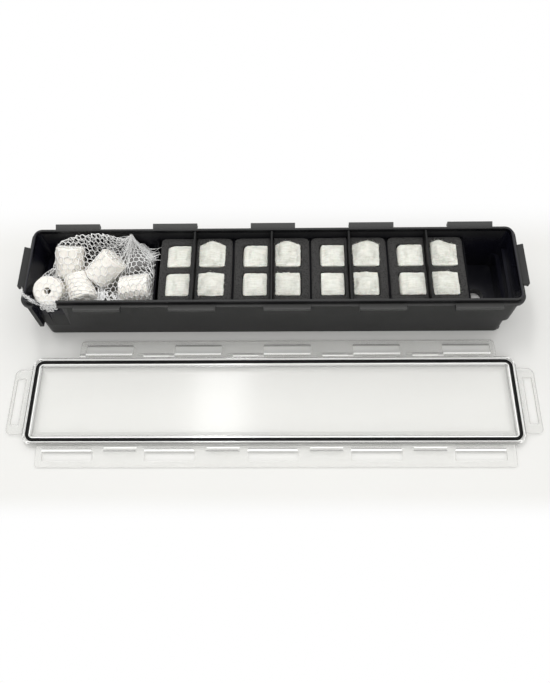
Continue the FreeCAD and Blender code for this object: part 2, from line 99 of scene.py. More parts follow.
class Shader:
    """One material: node() adds any node, and the helpers below it name the common ones."""

    def __init__(self, name):
        self.material = bpy.data.materials.new(name)
        self.material.use_nodes = True
        self.tree = self.material.node_tree
        self.tree.nodes.clear()

    def node(self, kind, settings, inputs, out=0):
        """Adds one node: its settings first, then values or links; gives back one output."""
        made = self.tree.nodes.new(kind)
        for key, value in settings.items():
            setattr(made, key, value)
        for key, value in inputs.items():
            target = made.inputs[key]
            if isinstance(value, Socket):
                self.tree.links.new(value.link, target)
            elif value is not None:
                target.default_value = value
        return Socket(self, made.outputs[out]) if made.outputs else made

    def place(self, scale=(1, 1, 1), turn=(0, 0, 0)):
        point = self.node("ShaderNodeTexCoord", {}, {}, "Object")
        inputs = {"Vector": point, "Scale": scale, "Rotation": turn}
        return self.node("ShaderNodeMapping", {}, inputs)

    def noise(self, point, scale, detail=3.0, rough=0.5):
        inputs = {"Vector": point, "Scale": scale, "Detail": detail, "Roughness": rough}
        return self.node("ShaderNodeTexNoise", {}, inputs)

    def cells(self, point, scale):
        return self.node("ShaderNodeTexVoronoi", {}, {"Vector": point, "Scale": scale})

    def step(self, value, low, high):
        """0 below low, easing to 1 above high."""
        inputs = {0: value, 1: low, 2: high}
        return self.node("ShaderNodeMapRange", {"interpolation_type": "SMOOTHSTEP"}, inputs)

    def fall(self, value, low, high):
        """1 below low, easing to 0 above high."""
        return 1.0 - self.step(value, low, high)

    def band(self, value, low, high, soft=0.0002):
        """1 between two values and 0 outside them."""
        rise = self.step(value, low - soft, low + soft)
        return rise * self.fall(value, high - soft, high + soft)

    def larger(self, first, second):
        return self.node("ShaderNodeMath", {"operation": "MAXIMUM"}, {0: first, 1: second})

    def mix(self, share, first, second):
        inputs = {0: share, 6: self.colour(first), 7: self.colour(second)}
        return self.node("ShaderNodeMix", {"data_type": "RGBA"}, inputs, 2)

    def colour(self, value):
        return value if isinstance(value, Socket) else (*value, 1.0)

    def bump(self, height, strength, depth):
        inputs = {"Height": height, "Strength": strength, "Distance": depth}
        return self.node("ShaderNodeBump", {}, inputs)

    def parts(self, point):
        """The x, y and z of a point, each as a Socket."""
        return [self.node("ShaderNodeSeparateXYZ", {}, {0: point}, axis) for axis in "XYZ"]

    def normal(self):
        """The x, y and z of the direction that the surface faces, in the piece's own frame."""
        return self.parts(self.node("ShaderNodeTexCoord", {}, {}, "Normal"))

    def slant(self, blend):
        return self.node("ShaderNodeLayerWeight", {}, {"Blend": blend}, "Facing")

    def finish(self, **inputs):
        surface = self.node("ShaderNodeBsdfPrincipled", {}, {})
        principled = surface.link.node
        for key, value in inputs.items():
            target = principled.inputs[key.replace("_", " ")]
            if isinstance(value, Socket):
                self.tree.links.new(value.link, target)
            elif target.type == "RGBA":
                target.default_value = self.colour(value)
            else:
                target.default_value = value
        self.node("ShaderNodeOutputMaterial", {}, {"Surface": surface})
        return self.material


# ---- Materials ----------------------------------------------------------------------------

def black_plastic(name, tone, grain, shine=0.22, tub=False):
    """Moulded polypropylene: a fine spark texture, slow flow marks and pale dust."""
    shader = Shader(name)
    point = shader.place()
    flow = shader.noise(shader.place((5, 30, 60)), 1.0, 4.0)
    fine = shader.noise(point, 1500.0, 2.0)
    rubbed = shader.step(shader.noise(point, 60.0, 6.0, 0.65), 0.52, 0.75)
    dust = shader.step(shader.noise(point, 900.0, 1.0), 0.70, 0.80)
    base = shader.mix(flow, [0.8 * c for c in tone], [1.2 * c for c in tone])
    base = shader.mix(rubbed * 0.25, base, [1.9 * c for c in tone])
    rough = 0.36 + flow * 0.12 + rubbed * 0.08
    # the tub's tones include painted shade and painted light
    if tub:
        base, rough = tub_painted_shade_and_polish(shader, point, tone, base, rough)
    base = shader.mix(dust * 0.06, base, (0.2, 0.2, 0.2))
    height = fine * grain + flow * 0.6
    return shader.finish(Base_Color=base, Roughness=rough, Specular_IOR_Level=shine,
                         Normal=shader.bump(height, 0.25, 0.0004))


def tub_painted_shade_and_polish(shader, point, tone, base, rough):
    """Painted shade and light on the tub: its inside and the outer face of its rim's tongue are
    painted darker, as shade, and are also polished; its front and back lugs are painted paler, as
    the light their tops catch, and its end lugs darker, as shade; and it is darker towards the
    bottom. Each mask
    reads places on the tub in metres: z up, across and along its middle."""
    x, y, z = shader.parts(point)
    across, along = abs(y), abs(x)
    # inside: the walls inside are painted near black, as painted shade, and are also polished
    wall_middle = z * 0.014 + 0.0394
    inside = shader.fall(across - wall_middle, -0.0004, 0.0004) * shader.fall(along, 0.2444, 0.2452)
    faces_middle = shader.step(shader.normal()[0] * x * -1.0, 0.10, 0.15)
    end_wall = faces_middle * shader.fall(z, 0.064, 0.067)
    inside = shader.larger(inside, end_wall)
    # the floor inside is painted less dark than the walls inside, as painted light where it faces
    # up
    chamber_floor = inside * shader.fall(z, 0.004, 0.006)
    # the outer face of the rim's tongue is painted near black, as painted shade below the rim, and
    # is also polished
    tongue = shader.step(z, 0.0676, 0.0679) * shader.fall(z, 0.0716, 0.0721)
    tongue = tongue * shader.fall(across, 0.0428, 0.0434) * shader.fall(along, 0.2466, 0.2472)
    # the front and back lugs are painted paler, as painted light on their tops; the end lugs are
    # painted darker, as painted shade
    side_lugs = shader.step(across, 0.0435, 0.0445) * shader.step(z, 0.0665, 0.0680)
    end_lugs = shader.step(along, 0.2475, 0.2485) * shader.step(z, 0.066, 0.068)
    foot = shader.fall(z, 0.0, 0.03)
    for share, colour in ((inside * 0.9, (0.005, 0.005, 0.010)),
                          (chamber_floor * 0.8, (0.024, 0.024, 0.030)),
                          (tongue * 0.85, (0.003, 0.003, 0.004)),
                          (side_lugs * 0.6, (0.075, 0.075, 0.073)),
                          (end_lugs * 0.7, [0.55 * c for c in tone]),
                          (foot * 0.3, [0.5 * c for c in tone])):
        base = shader.mix(share, base, colour)
    return base, rough - inside * 0.22 - tongue * 0.15


def foam():
    """Open-cell filter foam: round pores painted dark, as the shade in them, between thin paler
    struts.
    """
    shader = Shader("filter foam")
    point = shader.place()
    pores = shader.cells(point, 620.0)
    small = shader.cells(point, 1500.0)
    patch = shader.noise(point, 70.0, 4.0)
    # the pores are painted dark, as painted shade in the open cells
    open_pore = shader.step(pores, 0.1, 0.55)
    base = shader.mix(open_pore, (0.013, 0.0128, 0.0125), (0.050, 0.049, 0.048))
    base = shader.mix(patch * 0.5, base, (0.027, 0.0265, 0.026))
    height = open_pore + small * 0.35 + patch * 0.6
    return shader.finish(Base_Color=base, Roughness=0.95, Normal=shader.bump(height, 0.5, 0.0007),
                         Specular_IOR_Level=0.15, Sheen_Weight=0.05)


def white_floss():
    """Carded polyester: streaky fibres laid over each other, the raised strands painted paler as
    highlight and the faint hollows darker as shade, and painted shade where the pad slopes down to
    its window."""
    shader = Shader("white floss")
    along = shader.noise(shader.place((520, 90, 300), (0, 0, 0.3)), 1.0, 4.0, 0.6)
    across = shader.noise(shader.place((90, 760, 300), (0, 0, -0.12)), 1.0, 4.0, 0.6)
    tufts = shader.noise(shader.place(), 160.0, 5.0, 0.6)
    strands = along * 0.25 + across * 0.75
    # painted shade where the pad's top tilts down towards its edges
    sloping_shade = shader.fall(shader.normal()[2], 0.70, 0.97)
    base = shader.mix(shader.step(tufts, 0.3, 0.7), (0.63, 0.63, 0.565), (0.71, 0.71, 0.645))
    # the raised strands are painted paler, as painted highlight, and the hollows between them
    # darker, as painted shade
    base = shader.mix(shader.step(strands, 0.40, 0.62) * 0.5, base, (0.84, 0.84, 0.785))
    base = shader.mix(shader.fall(strands, 0.38, 0.46) * 0.10, base, (0.42, 0.42, 0.36))
    base = shader.mix(sloping_shade * 0.42, base, (0.50, 0.50, 0.43))
    height = strands * 1.3 + tufts
    return shader.finish(Base_Color=base, Roughness=0.9, Normal=shader.bump(height, 0.6, 0.0012),
                         Subsurface_Weight=0.06, Subsurface_Scale=0.003, Sheen_Weight=0.2)


def net_thread():
    """Soft white multifilament: a fine twist along each thread."""
    shader = Shader("net thread")
    point = shader.place()
    twist = shader.noise(point, 1800.0, 2.0)
    soiled = shader.noise(point, 90.0, 3.0)
    base = shader.mix(shader.step(soiled, 0.35, 0.75), (0.96, 0.96, 0.95), (0.84, 0.84, 0.83))
    return shader.finish(Base_Color=base, Roughness=0.65, Normal=shader.bump(twist, 0.4, 0.0004),
                         Sheen_Weight=0.3)


def fired_ceramic(name="fired ceramic", shade_share=0.0):
    """Porous fired clay: chalky, with pits, grey flecks and shallow lumps. The last argument
    darkens it, as painted shade for rings that lie in shadow.
    """
    shader = Shader(name)
    point = shader.place()
    lumps = shader.noise(point, 150.0, 5.0, 0.6)
    grain = shader.noise(point, 1100.0, 3.0)
    pits = shader.step(shader.cells(point, 420.0), 0.05, 0.3)
    base = shader.mix(lumps, (0.79, 0.757, 0.69), (0.885, 0.86, 0.805))
    base = shader.mix((1.0 - pits) * 0.45, base, (0.62, 0.59, 0.53))
    # painted shade: the share given darkens the clay towards near black
    base = shader.mix(shade_share, base, (0.05, 0.05, 0.055))
    height = lumps * 1.6 + grain * 0.3 + pits * 0.5
    return shader.finish(Base_Color=base, Roughness=0.85, Normal=shader.bump(height, 0.6, 0.0011),
                         Subsurface_Weight=0.03, Subsurface_Scale=0.002)


# the tone of a painted highlight line, which also glows faintly as painted light
PAINTED_HIGHLIGHT = 1.0
LID_BEFORE = 0.120  # from the tub's middle to the middle of the lid that lies before it
GROOVE = (0.2433, 0.0405)  # from the lid's middle to the gasket's groove, along and across
FLAP_HINGE = 0.0481  # from the lid's middle to the hinges of its long flaps


def clear_plastic(name, clear, edge, lines=None):
    """Clear moulded plastic: see-through face on, thicker at a slant and on upright faces, and
    painted greyer there as shade. lines(shader, point) gives rows of (share, tone, cover): painted
    highlight lines and painted dark lines along its edges. A painted highlight line is white, and
    glows faintly as painted light."""
    shader = Shader(name)
    point = shader.place()
    haze = shader.noise(shader.place((12, 60, 60)), 1.0, 4.0)
    scuff = shader.noise(point, 400.0, 3.0)
    slant = shader.slant(0.35)
    # painted grey at a slant and on upright faces, as shade in place of what refraction shows there
    upright = shader.fall(abs(shader.normal()[2]), 0.3, 0.6)
    base = shader.mix(slant, (0.93, 0.93, 0.90), (0.45, 0.46, 0.44))
    base = shader.mix(upright, base, (0.5, 0.5, 0.48))
    cover = clear + slant * edge + haze * 0.04 + upright * 0.25
    # painted highlight lines glow faintly, as painted light, though the plastic is no lamp
    painted_glow = (0.0, 0.0, 0.0)
    for share, tone, thick in (lines(shader, point) if lines else ()):
        base = shader.mix(share, base, (tone, tone, tone * 0.98))
        painted_glow = shader.mix(share, painted_glow, (1.0, 1.0, 0.97) if tone == PAINTED_HIGHLIGHT else (0.0, 0.0, 0.0))
        cover = cover + share * thick
    rough = 0.12 + scuff * 0.05
    return shader.finish(Base_Color=base, Roughness=rough, Alpha=cover, IOR=1.49,
                         Normal=shader.bump(haze, 0.06, 0.001), Specular_IOR_Level=1.0,
                         Emission_Color=painted_glow, Emission_Strength=0.16)


def frame_lines(shader, point):
    """Painted highlight lines and painted dark lines on both sides of the gasket's groove, all
    round the lid.
    """
    x, y, _ = shader.parts(point)
    out = shader.larger(abs(x) - GROOVE[0], abs(y + LID_BEFORE) - GROOVE[1])
    return [(shader.band(out, -0.0017, -0.0006), PAINTED_HIGHLIGHT, 0.65),
            (shader.band(out, -0.0034, -0.0024), 0.33, 0.28),
            (shader.band(out, 0.0034, 0.0044), PAINTED_HIGHLIGHT, 0.5),
            (shader.band(out, 0.0050, 0.0058), 0.33, 0.15)]


def slot_lines(first, pitch, dark, pale):
    """The painted lines of a long flap whose slots begin at x = first and come one pitch apart: a
    painted dark line at dark and a painted highlight at pale outside the hinge, along each slot,
    and a pair between slots."""
    slot_end, between, soft = 0.049 / pitch, (0.061 / pitch, 0.094 / pitch), 0.006

    def lines(shader, point):
        x, y, _ = shader.parts(point)
        out = abs(y + LID_BEFORE) - FLAP_HINGE
        turns = (x - first) * (1 / pitch)
        along = shader.node("ShaderNodeMath", {"operation": "FRACT"}, {0: turns})
        slot = shader.fall(along, slot_end - soft, slot_end + soft)
        beside = shader.band(along, *between, soft)
        return [(shader.band(out, dark, dark + 0.0010) * slot, 0.25, 0.5),
                (shader.band(out, pale, pale + 0.0015) * slot, PAINTED_HIGHLIGHT, 0.9),
                (shader.band(out, 0.0012, 0.0020) * beside, PAINTED_HIGHLIGHT, 0.8),
                (shader.band(out, 0.0042, 0.0050) * beside, 0.3, 0.35)]
    return lines


def seal_rubber():
    """Black extruded rubber: dull, with a faint bloom."""
    shader = Shader("seal rubber")
    point = shader.place()
    bloom = shader.noise(point, 220.0, 4.0)
    grain = shader.noise(point, 2200.0, 2.0)
    base = shader.mix(shader.step(bloom, 0.4, 0.8), (0.003, 0.003, 0.003), (0.010, 0.010, 0.010))
    return shader.finish(Base_Color=base, Roughness=0.55 + bloom * 0.15, Specular_IOR_Level=0.1,
                         Normal=shader.bump(grain, 0.3, 0.0003))


# ---- Mesh helpers -------------------------------------------------------------------------

def new_mesh(name, points, faces):
    mesh = bpy.data.meshes.new(name)
    mesh.from_pydata([tuple(point) for point in points], [], faces)
    return mesh


def new_object(name, data):
    made = bpy.data.objects.new(name, data)
    bpy.context.scene.collection.objects.link(made)
    return made


def new_piece(name, points, faces, material, body, slot):
    """A smooth-shaded piece that rides on a body, with one material; slot is not used."""
    mesh = new_mesh(name, points, faces)
    mesh.polygons.foreach_set("use_smooth", [True] * len(mesh.polygons))
    mesh.materials.append(material)
    mesh.update()
    piece = new_object(name, mesh)
    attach(piece, body)
    return piece


def settled(piece):
    """Freezes a piece's modifiers into its mesh."""
    depsgraph = bpy.context.evaluated_depsgraph_get()
    mesh = bpy.data.meshes.new_from_object(piece.evaluated_get(depsgraph))
    piece.modifiers.clear()
    piece.data = mesh
    return mesh


def coordinates(mesh):
    flat = np.empty(len(mesh.vertices) * 3)
    mesh.vertices.foreach_get("co", flat)
    return flat.reshape(-1, 3)


def put_back(mesh, points):
    mesh.vertices.foreach_set("co", np.asarray(points, float).ravel())
    mesh.update()


def tubes(starts, ends, radius, sides):
    """Points and faces of one thin prism from each start to each end."""
    along = ends - starts
    length = np.linalg.norm(along, axis=1, keepdims=True)
    along = along / np.maximum(length, 1e-9)
    helper = np.where(np.abs(along[:, 2:3]) < 0.9, [[0.0, 0.0, 1.0]], [[1.0, 0.0, 0.0]])
    across = np.cross(along, helper)
    across /= np.linalg.norm(across, axis=1, keepdims=True)
    third = np.cross(along, across)
    points = []
    for base in (starts, ends):
        for side in range(sides):
            angle = 2 * math.pi * side / sides
            points.append(base + radius * (math.cos(angle) * across + math.sin(angle) * third))
    points = np.stack(points, axis=1).reshape(-1, 3)
    faces = []
    for number in range(len(starts)):
        first = number * 2 * sides
        for side in range(sides):
            after = (side + 1) % sides
            faces.append((first + side, first + after, first + sides + after, first + sides + side))
    return points, faces


# ---- Sponge -------------------------------------------------------------------------------

def sponge_block(name, body, material, narrower, lip):
    """The cut foam block, softened along its edges, with cell-sized roughness. Its left side is
    drawn in by the width narrower, and lip is how far its top laps over at the left and right."""
    source = frame["nodes"][name].data.copy()
    shape = bmesh.new()
    shape.from_mesh(source)
    bmesh.ops.remove_doubles(shape, verts=shape.verts, dist=1e-5)
    shape.to_mesh(source)
    shape.free()
    source.materials.clear()
    source.materials.append(material)
    piece = new_object(name + "_foam", source)
    remesh = piece.modifiers.new("cut", "REMESH")
    remesh.mode = "VOXEL"
    remesh.voxel_size = 1.5 * MM
    smooth = piece.modifiers.new("soften", "SMOOTH")
    smooth.factor = 0.5
    smooth.iterations = 3
    mesh = settled(piece)
    points = coordinates(mesh)
    low, high = points.min(0), points.max(0)
    width, _, height = high - low
    points[:, 0] += narrower * np.clip((high[0] - points[:, 0]) / width * 1.3 - 0.3, 0, 1)
    for number, point in enumerate(points):
        place = Vector(point)
        slow = noise.noise_vector(place * 45)
        quick = noise.noise_vector(place * 420)
        share = min(1.0, max(0.0, (point[2] - low[2]) / height))
        shift = slow * (0.45 * MM * share) + quick * (0.16 * MM)
        points[number] = point + np.array(shift)
    points = np.clip(points, low + 0.02 * MM, high - 0.02 * MM)
    lip_height, lip_fade, lip_reach = 2.3 * MM, 0.8 * MM, 3 * MM
    over = np.clip((points[:, 2] - high[2] + lip_height) / lip_fade, 0, 1)
    points[:, 0] += over * lip[1] * np.clip((points[:, 0] - high[0]) / lip_reach + 1, 0, 1)
    points[:, 0] -= over * lip[0] * np.clip((low[0] - points[:, 0]) / lip_reach + 1, 0, 1)
    put_back(mesh, points)
    mesh.polygons.foreach_set("use_smooth", [True] * len(mesh.polygons))
    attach(piece, body)
    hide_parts(name)


# ---- Floss --------------------------------------------------------------------------------

SLACK = 0.93  # how much smaller than its window a wad starts, before it is stuffed
SPONGE_TOP = 61 * MM
FULL_FUZZ = 0.8  # the height of fuzz, in millimetres, that FIBRES and their reach are given for
FIBRES = 300


def rounded_block(cuts, round_share):
    """A cube from -1 to 1 with even faces and slightly rounded corners."""
    cube = bmesh.new()
    bmesh.ops.create_cube(cube, size=2.0)
    bmesh.ops.subdivide_edges(cube, edges=cube.edges, cuts=cuts, use_grid_fill=True)
    cube.verts.ensure_lookup_table()
    points = np.array([vertex.co for vertex in cube.verts])
    faces = [tuple(vertex.index for vertex in face.verts) for face in cube.faces]
    cube.free()
    ball = points / np.linalg.norm(points, axis=1, keepdims=True) * 1.25
    points = points * (1 - round_share) + ball * round_share
    return points / np.abs(points).max(0), faces


def stuffed(blocks, faces):
    """Swells all the wads in one run of cloth under pressure, ten times their size, and gives
    back how far each point moved. Nothing moves further than the cap."""
    grown, frames, cap, size = 10.0, 14, 3.0 * MM, len(blocks[0])
    start = np.concatenate(blocks) * grown
    every_face = [tuple(corner + size * number for corner in face)
                  for number in range(len(blocks)) for face in faces]
    mesh = new_mesh("stuffing", start, every_face)
    batch = new_object("stuffing", mesh)
    cloth = batch.modifiers.new("swell", "CLOTH")
    cloth.settings.use_pressure = True
    cloth.settings.uniform_pressure_force = 4.0
    cloth.settings.effector_weights.gravity = 0.0
    cloth.settings.quality = 4
    cloth.collision_settings.use_collision = False
    for frame_number in range(1, frames + 1):
        bpy.context.scene.frame_set(frame_number)
    depsgraph = bpy.context.evaluated_depsgraph_get()
    swollen = bpy.data.meshes.new_from_object(batch.evaluated_get(depsgraph))
    moved = (coordinates(swollen) - start) / grown
    reach = np.linalg.norm(moved, axis=1, keepdims=True)
    moved *= np.minimum(1, cap / np.maximum(reach, 1e-9))
    bpy.data.objects.remove(batch)
    for used in (mesh, swollen):
        bpy.data.meshes.remove(used)
    bpy.context.scene.frame_set(1)
    return np.split(moved, len(blocks))


def floss_wad(name, body, span, wad, peak, slant, moved, block, faces, material, seed):
    """A folded wad of floss that fills its window and bulges over the window's edge. span is its
    reach in x above the sponge, and wad the row of sizes that WADS gives. Its ridge stands at
    peak, as a share of its width, and its far left corner is drawn in by slant."""
    front, back = wad[:2]
    crown, hump, lean, ruffle, fuzz = (value * MM for value in wad[2:])
    low, high = (np.array(corner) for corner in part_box(name))
    middle, half = (low + high) / 2, (high - low) / 2
    inner = np.clip(block * 0.95 + moved / half * 0.4, -1, 1)
    floor_z = low[2] + 0.2 * MM
    shaped = middle + inner * half * 0.985
    upper = np.clip(block[:, 2], 0, 1) ** 6
    x, y = inner[:, 0], inner[:, 1]
    round_top = (1 - 0.85 * np.abs(x) ** 2.6) * (1 - 0.85 * np.abs(y) ** 2.6)
    dome = upper * np.clip(np.maximum(moved[:, 2], 0) / (2.8 * MM), 0, 1) * round_top
    ridge = upper * np.exp(-((x - peak) / 0.62) ** 2) * np.clip(0.4 + 0.6 * y, 0, 1)
    body_height = (block[:, 2] + 1) / 2 * (SPONGE_TOP + 0.2 * MM - floor_z)
    shaped[:, 2] = floor_z + body_height + dome * crown + ridge * hump
    brim = np.clip((shaped[:, 2] - (SPONGE_TOP - 1.6 * MM)) / (1.6 * MM), 0, 1)
    outer_x = (span[0] + span[1]) / 2 + x * (span[1] - span[0]) / 2
    outer_x += slant * MM * np.clip((y + 1) / 2, 0, 1) ** 1.6 * np.clip(-x, 0, 1)
    outer_y = middle[1] + y * (half[1] + np.where(y > 0, back, front) * MM)
    shaped[:, 0] += (outer_x - shaped[:, 0]) * brim
    shaped[:, 1] += (outer_y - shaped[:, 1]) * brim
    above = np.clip((shaped[:, 2] - SPONGE_TOP) / (6 * MM), 0, 1.5)
    shaped[:, 1] += lean * above * np.clip(y, 0, 1)
    shaped, faces = finer(name, shaped, faces)
    offset = Vector((seed * 7.3, seed * 3.1, seed * 5.7))
    top = np.clip((shaped[:, 2] - SPONGE_TOP + 1.5 * MM) / (1.5 * MM), 0, 1)
    for number in np.where(top > 0)[0]:
        place = Vector(shaped[number])
        coarse = noise.noise(place * 110 + offset) * ruffle
        fold = coarse + noise.noise(place * 380 + offset) * ruffle * 0.4
        spread = noise.noise_vector(place * 260 + offset) * ruffle * 0.5
        shaped[number] += np.array((spread.x, spread.y, fold)) * top[number]
    piece = new_piece(name + "_wad", shaped, faces, material, body, "floss")
    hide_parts(name)
    floss_fibres(name, body, piece.data, shaped, fuzz, material, seed)


def finer(name, points, faces):
    """The points and faces of a mesh after one subdivision."""
    rough = new_object(name + "_rough", new_mesh(name, points, faces))
    rough.modifiers.new("finer", "SUBSURF").levels = 1
    smoother = settled(rough)
    bpy.data.objects.remove(rough)
    return coordinates(smoother), [tuple(face.vertices) for face in smoother.polygons]


def floss_fibres(name, body, mesh, points, fuzz, material, seed):
    """Fine fibres that arch off the top of a wad, each in three straight lengths."""
    chance = np.random.default_rng(seed)
    normals = np.empty(len(mesh.vertices) * 3)
    mesh.vertices.foreach_get("normal", normals)
    normals = normals.reshape(-1, 3)
    top = np.where(points[:, 2] > SPONGE_TOP)[0]
    roots = top[chance.integers(0, len(top), int(FIBRES * fuzz / (FULL_FUZZ * MM)))]
    count = len(roots)
    start = points[roots] - normals[roots] * 0.3 * MM
    flat = chance.normal(size=(count, 3))
    flat -= normals[roots] * (flat * normals[roots]).sum(1, keepdims=True)
    flat /= np.linalg.norm(flat, axis=1, keepdims=True)
    reach = chance.uniform(1.2, 3.8, (count, 1)) * fuzz / FULL_FUZZ
    lift = chance.uniform(0.1, 1.0, (count, 1)) * fuzz
    firsts, lasts = [], []
    before = start
    for part in (0.35, 0.7, 1.0):
        wander = chance.normal(size=(count, 3)) * 0.25 * MM
        arch = math.sin(part * 2.6)
        after = start + flat * reach * part + normals[roots] * lift * arch + wander
        firsts.append(before)
        lasts.append(after)
        before = after
    ends = tubes(np.concatenate(firsts), np.concatenate(lasts), 0.055 * MM, 3)
    new_piece(name + "_fibres", *ends, material, body, "floss")


# ---- Net bag ------------------------------------------------------------------------------

RING_LENGTH, RING_RADIUS = 30 * MM, 14.25 * MM
HEART = np.array([-181, 0, 30]) * MM  # the middle of the heap of rings
PEAK = np.array([-143, 31.3, 77.4]) * MM  # where the net is gathered
NET_LOW, NET_HIGH = 3.6 * MM, 77.4 * MM
THREAD = 3.1 * MM  # the length of one side of the net's hexagons

# The line that the net's back edge stands along, against the back wall: x and z.
BACK_ARCH = MM * np.array([
    (-242, 20), (-232, 45), (-223, 60), (-213, 68), (-204, 72.5), (-195, 74.8), (-187, 75.8),
    (-175, 75.8), (-168, 74), (-160, 69), (-155, 66), (-149, 70), (-143, 76), (-139, 70),
    (-132, 45), (-122, 20)])

# Low and high x, then low and high y, in millimetres: the hollow at the front, which the net
# spans, and the patch in it that is drawn down.
APRON = (-214, -124, -36.4, -12)
LOOSE_PATCH = (-176, -160, -34, -10)


def ring_names():
    return [name for name in frame["nodes"] if name.startswith("ring_") and name != "ring_bag"]


def ring_places():
    """Axis, centre, radius and half length of each ring, read from its CAD node."""
    places = []
    for name in ring_names():
        points = coordinates(frame["nodes"][name].data)
        middle = points.mean(0)
        spread = points - middle
        _, vectors = np.linalg.eigh(spread.T @ spread)
        best = None
        for axis in vectors.T:
            along = spread @ axis
            radial = np.linalg.norm(spread - np.outer(along, axis), axis=1)
            ends = along.max() - along.min()
            score = abs(ends - RING_LENGTH) + abs(radial.max() - RING_RADIUS)
            if best is None or score < best[0]:
                centre = middle + axis * (along.max() + along.min()) / 2
                best = (score, axis, centre, radial.max(), ends / 2)
        places.append(best[1:])
    return places


def pushed_out(points, places, gap):
    """Moves the points that lie in a ring, or nearer to it than gap, to its nearest face."""
    for axis, centre, radius, half in places:
        offset = points - centre
        along = offset @ axis
        radial = offset - np.outer(along, axis)
        distance = np.linalg.norm(radial, axis=1)
        side = radius + gap - distance
        end = half + gap - np.abs(along)
        inside = (side > 0) & (end > 0)
        by_side = inside & (side <= end)
        by_end = inside & (side > end)
        outward = radial[by_side] / np.maximum(distance[by_side], 1e-9)[:, None]
        points[by_side] += outward * side[by_side][:, None]
        points[by_end] += np.outer(np.sign(along[by_end]) * end[by_end], axis)
    return points


def kept_in(points):
    """Holds the net inside the room that the tub leaves, drawn in where nothing fills it."""
    x, y, z = points.T
    z[:] = np.clip(z, NET_LOW, NET_HIGH)
    left = np.where(z < 31 * MM, -237.2, -241.9) * MM  # the end wall is sunk low down
    bare = np.clip((y + 6 * MM) / (18 * MM), 0, 1) * np.clip((z - 25 * MM) / (20 * MM), 0, 1)
    left = left + bare * 14.5 * MM
    right = -120.9 * MM - np.clip(y, 0, 1) * np.where(z > 60 * MM, 0.6, 0.2)
    x[:] = np.clip(x, left, right)
    half = (37.6 + z / MM / 72.5) * MM
    notch = (x > -236.2 * MM) & (x < -213.6 * MM) & (z > 50 * MM)
    front = np.where(notch, -41.5 * MM, -np.minimum(half, 37.6 * MM))
    y[:] = np.clip(y, front, half)
    return points


def over_box(x, y, box):
    low_x, high_x, low_y, high_y = (edge * MM for edge in box)
    return (x > low_x) & (x < high_x) & (y > low_y) & (y < high_y)


def held_up(points):
    """Stands the net against the back wall along the arch, lets none of it rise above, and keeps
    it stretched over the hollow at the front."""
    x, y, z = points.T
    top = np.interp(x, BACK_ARCH[:, 0], BACK_ARCH[:, 1])
    ridge, thick, spare = 34.0 * MM, 1.5 * MM, 1.2 * MM
    inside = (np.abs(y - ridge) < thick) & (z < top)
    rise = inside & (top - z < 6 * MM)
    z[rise] = top[rise]
    aside = inside & ~rise
    y[aside] = ridge + np.where(y[aside] < ridge, -thick, thick)
    apron = over_box(x, y, APRON)
    level = (44 + (y / MM + 37) * 0.35) * MM
    loose = over_box(x, y, LOOSE_PATCH) & (z > level) & (z < level + 12 * MM)
    z[loose] += (level - z)[loose] * 0.12
    z[apron] = np.maximum(z, level)[apron]
    over = (y > 27 * MM) & (z > top + spare) & (x < -150 * MM)
    z[over] += (top[over] + spare - z[over]) * 0.5
    return points


def net_pattern(side, reach_s, reach_t):
    """A flat oval of hexagonal netting. Gives the knot at each row and column, the knots' flat
    places, the threads, the pairs of knots two threads apart, and which knots lie on the rim."""
    index, flat = {}, []
    rows, columns = int(reach_t / (1.5 * side)), int(reach_s / (math.sqrt(0.75) * side))
    for row in range(-rows, rows + 1):
        for column in range(-columns, columns + 1):
            s = column * math.sqrt(0.75) * side
            t = row * 1.5 * side + (0.25 if (row + column) % 2 else -0.25) * side
            if (abs(s) / reach_s) ** 2.2 + (abs(t) / reach_t) ** 2.2 <= 1:
                index[row, column] = len(flat)
                flat.append((s, t))
    threads = []
    for (row, column), here in index.items():
        if (row, column + 1) in index:
            threads.append((here, index[row, column + 1]))
        if (row + column) % 2 and (row + 1, column) in index:
            threads.append((here, index[row + 1, column]))
    near = [[] for _ in flat]
    for first, last in threads:
        near[first].append(last)
        near[last].append(first)
    apart = sorted({(i, j) for around in near for i in around for j in around if i < j})
    rim = np.array([len(around) < 3 for around in near])
    return index, np.array(flat), np.array(threads), np.array(apart), rim


